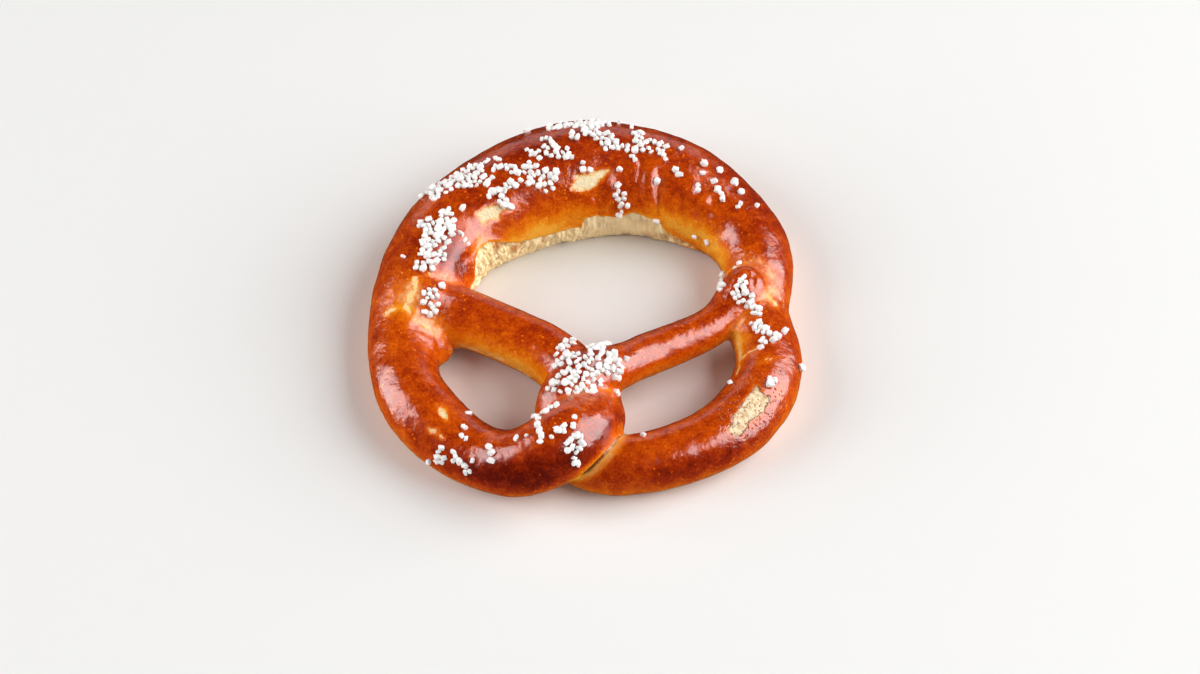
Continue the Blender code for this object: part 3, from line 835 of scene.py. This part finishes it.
def crumbFinish():
    # Cream crumb with fibres that run across the roll, with painted shade in its low hollows, and browner
    # where it is toasted.
    finish = Finish("tornCrumb")
    fibre = finish.noise(0.9, 4.0, 0.7, finish.vector("MULTIPLY", finish.place, (1.0, 0.4, 0.4)))
    patch = finish.noise(6.0, 2.0)
    # painted shade where the crumb lies low
    pits = finish.field("pits").step(-0.1, -0.6)
    colour = finish.ramp(fibre * 0.6 + patch * 0.4, tear["crumbColours"])
    colour = finish.mix(pits * 0.6, colour, tear["pitShadeColour"])
    toast = (finish.field("toast") + fibre.swing(0.9)).step(0.2, 0.75)
    colour = finish.mix(toast * 0.8, colour, finish.mix(patch, *tear["toastColours"]))
    normal = finish.bump(fibre, 0.35)
    return finish.finishWith(Base_Color=colour, Roughness=0.6 + fibre * 0.3, Normal=normal)


salt = {
    # patches: along and lean of one end and of the other, half width, number of grains
    "patches": {
        "left shoulder": ((246, 8, 238, 14, 3.2, 18), (239, -6, 233, 6, 2.6, 12),
                          (233, 12, 227, 16, 4.5, 24), (224, 6, 219, 10, 2.4, 9),
                          (239, -19, 238, -12, 0.9, 3), (242, 30, 241, 42, 1.2, 6)),
        "left tail": ((4, 28, 5, 40, 3.6, 22),),
        "left crest": ((254, -28, 266, -16, 4.2, 36), (262, -6, 266, 2, 3.0, 12),
                       (252, -46, 254, -34, 1.6, 6), (250, -22, 251, -18, 1.2, 3),
                       (271, -20, 276, -11, 1.2, 4)),
        "bow left": ((272, -3, 275, 1, 1.4, 6), (276, 7, 279, 11, 1.5, 6), (265, 21, 277, 22, 1.3, 10),
                     (267, 26, 269, 38, 1.9, 10), (281, 17, 287, 34, 4.0, 34)),
        "below the crest": ((286, -2, 288, 6, 1.9, 8), (291, 4, 298, 13, 2.4, 14),
                            (293, -12, 295, -3, 1.1, 5), (303, 32, 306, 33, 0.9, 3)),
        "bow crest": ((296, -26, 303, -30, 2.0, 10), (304, -26, 313, -26, 2.6, 18),
                      (309, -12, 315, 6, 3.2, 26), (302, -9, 303, -3, 1.0, 3)),
        "right crest": ((325, -14, 326, 6, 2.2, 14), (320, 4, 322, 8, 1.1, 4), (329, -6, 334, -10, 1.6, 8),
                        (330, 3, 330, 5, 1.1, 3), (333, 3, 337, 6, 1.5, 6), (323, 15, 326, 18, 1.1, 4)),
        "bow middle": ((318, 52, 324, 64, 2.2, 14), (323, 68, 322, 80, 1.2, 4)),
        "wrinkle": ((337, 32, 337, 38, 0.9, 3),),
        "bow right": ((352, 20, 352, 24, 1.2, 3), (359, 9, 362, 12, 1.1, 4), (369, 8, 369, -2, 1.0, 3)),
        "upper crossing": ((551, -56, 547, -30, 1.6, 6), (545, -20, 549, 40, 2.4, 20),
                           (551, -40, 553, 52, 2.4, 26), (558, -30, 557, 30, 2.6, 26),
                           (561, 10, 561, 62, 1.8, 16), (560, -46, 566, -54, 2.0, 10)),
        "left arm": ((61, -30, 62, 18, 1.6, 8),),
        "below the crossing": ((99, 43, 94, -7, 1.0, 7), (87, -40, 84, -57, 1.2, 4)),
        "twist": ((104, 34, 112, 46, 1.0, 7), (112, 40, 114, -10, 1.1, 9), (114, -10, 107, -12, 1.1, 7),
                  (108, -32, 109, -48, 1.8, 9), (110, -58, 110, -68, 0.8, 3)),
        "right tail": ((627, 8, 624, 16, 1.4, 6), (621, 14, 622, 46, 2.9, 24), (620, -44, 621, -38, 1.0, 3)),
        "above the right tail": ((395, 30, 396, 40, 0.9, 3), (393, 80, 396, 86, 0.9, 3)),
        "right shoulder": ((414, 9, 422, 12, 1.2, 6), (422, 20, 426, 8, 2.0, 9), (426, 6, 430, -8, 1.9, 9),
                           (430, 10, 433, 14, 1.3, 5), (426, -28, 426, -24, 1.1, 3)),
        "right lobe": ((446, -18, 448, -20, 1.1, 3),),
        "left lobe": ((149, -52, 149, -72, 1.6, 8), (145, -46, 141, -57, 1.2, 6),
                      (139, -60, 138, -65, 1.0, 3), (137, -41, 137, -45, 1.0, 3),
                      (130, -38, 129, -40, 0.9, 2), (144, -13, 144, -11, 1.1, 2)),
    },
    # grains that lie alone, as along and lean
    "single": (
        (225, -21), (252, 13), (7, -8), (269, 6), (300, 19), (304, 25), (292, 27), (290, -38), (318, -36),
        (322, -28), (340, -14), (319, 31), (342, 15), (343, 18), (349, -8), (350, 3), (354, -18), (355, 2),
        (360, -19), (365, -13), (372, -21), (341, 80), (361, 82), (369, 80), (565, 25),
        (105, -6), (117, 5), (121, 8), (132, -12), (130, -24), (151, 40), (147, 4), (152, -84), (436, -68),
        (453, 46), (497, 29),
    ),
    "seed": 20,
    "tries": 12,  # places drawn for each grain of a patch
    "length": (1.7, 2.9),
    "spacing": 0.8,  # closest centres, as a share of the two grains' mean length
    "singleReach": 0.6,
    "clearOfRoll": 0.5,
    "coreStep": 2.0,
    "blockSteps": 3,  # quads along each edge of the block that a grain is made from
    "shares": (1.0, 0.86, 0.66),  # length, width and height of a grain
    "unevenness": 0.2,
    "roundness": (2.3, 4.5),  # 2 is a ball, and more is nearer to a block
    "chipping": 0.19,
    "lift": (0.02, 0.34),
    "tilt": 0.9,
    "sharpAngle": 38,
    "colours": ((0.86, 0.84, 0.81), (0.95, 0.94, 0.92)),
}


def saltPlaces(roll):
    # Random places in each patch, which is a disc swept from one end to the other, where no other stretch
    # covers them and no grain lies too near: rows of place, outward direction, length and turn.
    draw = np.random.default_rng(salt["seed"])
    core = np.arange(roll.start, roll.end, salt["coreStep"])
    middles, radii, _ = roll.at(core)
    grains = np.empty((0, 8))
    patches = allRows(salt["patches"])
    patches += [(along, lean, along, lean, salt["singleReach"], 1) for along, lean in salt["single"]]
    for along, lean, toAlong, toLean, halfWidth, count in patches:
        tries = count * salt["tries"]
        share = draw.uniform(0.0, 1.0, tries)
        angle = draw.uniform(0.0, 2 * math.pi, tries)
        distance = np.sqrt(draw.uniform(0.0, 1.0, tries))
        length = draw.uniform(*salt["length"], tries)
        turn = draw.uniform(0.0, 2 * math.pi, tries)
        at = along + (toAlong - along) * share + halfWidth * distance * np.cos(angle)
        across = halfWidth * distance * np.sin(angle) / roll.at(np.array([float(along)]))[1]
        place, outward = roll.surface(at, lean + (toLean - lean) * share + np.degrees(across))
        elsewhere = np.abs(core - at[:, None]) > rollShape["otherStretch"]
        gap = np.linalg.norm(middles - place[:, None], axis=2) - radii
        covered = np.any(elsewhere & (gap < salt["clearOfRoll"]), axis=1)
        patchEnd = len(grains) + count
        for i in np.flatnonzero(~covered):
            apart = np.linalg.norm(grains[:, :3] - place[i], axis=1)
            near = apart <= salt["spacing"] * (grains[:, 6] + length[i]) / 2
            if not near.any() and len(grains) < patchEnd:
                grains = np.vstack((grains, [*place[i], *outward[i], length[i], turn[i]]))
    return grains


def blockForm():
    # A cube's skin from -1 to 1, with blockSteps quads along each edge.
    steps = salt["blockSteps"]
    lattice = [c for c in np.ndindex(steps + 1, steps + 1, steps + 1) if 0 in c or steps in c]
    number = {c: i for i, c in enumerate(lattice)}
    faces = []
    for axis, side, u, v in np.ndindex(3, 2, steps, steps):
        corners = []
        for du, dv in ((0, 0), (1, 0), (1, 1), (0, 1)):
            corner = [0, 0, 0]
            corner[axis] = side * steps
            corner[(axis + 1) % 3] = u + du
            corner[(axis + 2) % 3] = v + dv
            corners.append(number[tuple(corner)])
        faces.append(corners if side else corners[::-1])
    return np.array(lattice) * 2.0 / steps - 1, np.array(faces)


def saltPiece(roll):
    # Each grain is the block pushed out to sum |c|^n = 1, chipped at random, scaled by its shares, and turned
    # about a direction that is tilted at random off the crust's outward one.
    grains = saltPlaces(roll)
    block, faces = blockForm()
    draw = np.random.default_rng(salt["seed"] + 1)
    count = len(grains)
    power = draw.uniform(*salt["roundness"], (count, 1, 1))
    shapes = block / np.sum(np.abs(block) ** power, axis=2, keepdims=True) ** (1 / power)
    shapes = shapes * draw.uniform(1 - salt["chipping"], 1 + salt["chipping"], (count, len(block), 1))
    uneven = draw.uniform(1 - salt["unevenness"], 1 + salt["unevenness"], (count, 1, 3))
    shapes = shapes * uneven * (grains[:, 6, None] * salt["shares"] / 2)[:, None]
    outward = unit(grains[:, 3:6] + salt["tilt"] * draw.uniform(-1, 1, (count, 3)))
    level = unit(np.cross(outward, (0.3, 0.9, 0.2)))  # any fixed direction would do
    third = np.cross(outward, level)
    turn = grains[:, 7, None]
    first = np.cos(turn) * level + np.sin(turn) * third
    second = np.cross(outward, first)
    lift = draw.uniform(*salt["lift"], (count, 1))
    middle = grains[:, :3] + grains[:, 3:6] * lift * grains[:, 6, None]
    axes = np.stack((first, second, outward), axis=1)
    points = middle[:, None] + np.einsum("gpi,gij->gpj", shapes, axes)
    allFaces = faces + len(block) * np.arange(count)[:, None, None]
    piece = newPiece("salt", points.reshape(-1, 3), allFaces.reshape(-1, 4).tolist())
    piece.data.shade_smooth()
    piece.data.set_sharp_from_angle(angle=math.radians(salt["sharpAngle"]))
    piece.data.materials.append(saltFinish())
    print("salt:", count, "grains")
    return piece


def saltFinish():
    # Opaque white with a sugary grain.
    finish = Finish("coarseSalt")
    grain = finish.noise(0.5, 3.0, 0.6)
    colour = finish.mix(finish.noise(2.5, 1.0), *salt["colours"])
    return finish.finishWith(Base_Color=colour, Roughness=0.45 + grain * 0.3, Normal=finish.bump(grain, 0.08))


studio = {
    "camera": (6.0, -557.1, 710.4),
    "aim": (6.0, -4.5, 0.0),
    "lens": 74.57,
    "sensor": 36.0,
    # azimuth, elevation, distance, width, height, brightness; softboxes light the crust, and its glaze
    # mirrors only the panels
    "softboxes": {
        "right": (2, 36, 2400, 2600, 2300, 4.9),
        "left": (186, 24, 2400, 2000, 2300, 4.2),
        "front": (-80, 40, 2400, 2000, 1500, 0.55),
    },
    "panels": {
        "rightPanel": (-2, 32, 2400, 3000, 3050, 8.4),
        "leftPanel": (173, 16, 2400, 1300, 2550, 8.0),
        "backPanel": (95, 14, 2600, 3000, 1200, 1.0),
    },
    "sky": 0.03,
    "floorSize": 9000,
    "floorColour": (0.81, 0.805, 0.79),
}


def setStudio():
    # A pale floor, a plain sky, softboxes and panels, whose power is brightness * pi * area.
    scene = bpy.context.scene
    corners = np.array([[-1, -1, 0], [1, -1, 0], [1, 1, 0], [-1, 1, 0]]) * studio["floorSize"] / 2
    floor = newPiece("floor", corners, [[0, 1, 2, 3]])
    finish = Finish("paleFloor")
    floor.data.materials.append(finish.finishWith(
        Base_Color=(*studio["floorColour"], 1.0), Roughness=1.0, Specular_IOR_Level=0.0
    ))
    floor.visible_glossy = False
    world = bpy.data.worlds.new("sky")
    world.use_nodes = True
    background = world.node_tree.nodes["Background"].inputs
    background["Strength"].default_value = studio["sky"]
    background["Color"].default_value = (1.0, 1.0, 1.0, 1.0)
    scene.world = world
    lamps = {**studio["softboxes"], **studio["panels"]}
    for name, (azimuth, elevation, distance, width, height, brightness) in lamps.items():
        light = bpy.data.lights.new(name, "AREA")
        light.shape = "RECTANGLE"
        light.size = width * mm
        light.size_y = height * mm
        light.energy = brightness * math.pi * light.size * light.size_y
        lamp = bpy.data.objects.new(name, light)
        lamp.visible_glossy = name in studio["panels"]
        lamp.visible_diffuse = name in studio["softboxes"]
        turn, climb = math.radians(azimuth), math.radians(elevation)
        level = math.cos(climb)
        direction = Vector((level * math.cos(turn), level * math.sin(turn), math.sin(climb)))
        lamp.location = direction * distance * mm
        lamp.rotation_euler = lamp.location.to_track_quat("Z", "Y").to_euler()
        scene.collection.objects.link(lamp)
    camera = bpy.data.objects.new("camera", bpy.data.cameras.new("camera"))
    camera.data.lens = studio["lens"]
    camera.data.sensor_width = studio["sensor"]
    camera.data.clip_start = 0.05
    camera.location = Vector(studio["camera"]) * mm
    away = Vector(studio["camera"]) - Vector(studio["aim"])
    camera.rotation_euler = away.to_track_quat("Z", "Y").to_euler()
    scene.collection.objects.link(camera)
    scene.camera = camera
    scene.view_settings.view_transform = "Standard"
    print("studio: floor, sky,", len(studio["softboxes"]), "softboxes and", len(studio["panels"]), "panels")


setStudio()
dough = Roll(rollStations())
crustSkin = crustPiece(dough)
tornCrumb = tornCrumbPiece(dough)
saltGrains = saltPiece(dough)
for piece, slot in ((crustSkin, "crust"), (tornCrumb, "crumb"), (saltGrains, "salt")):
    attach(piece, "root")
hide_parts("pretzel")
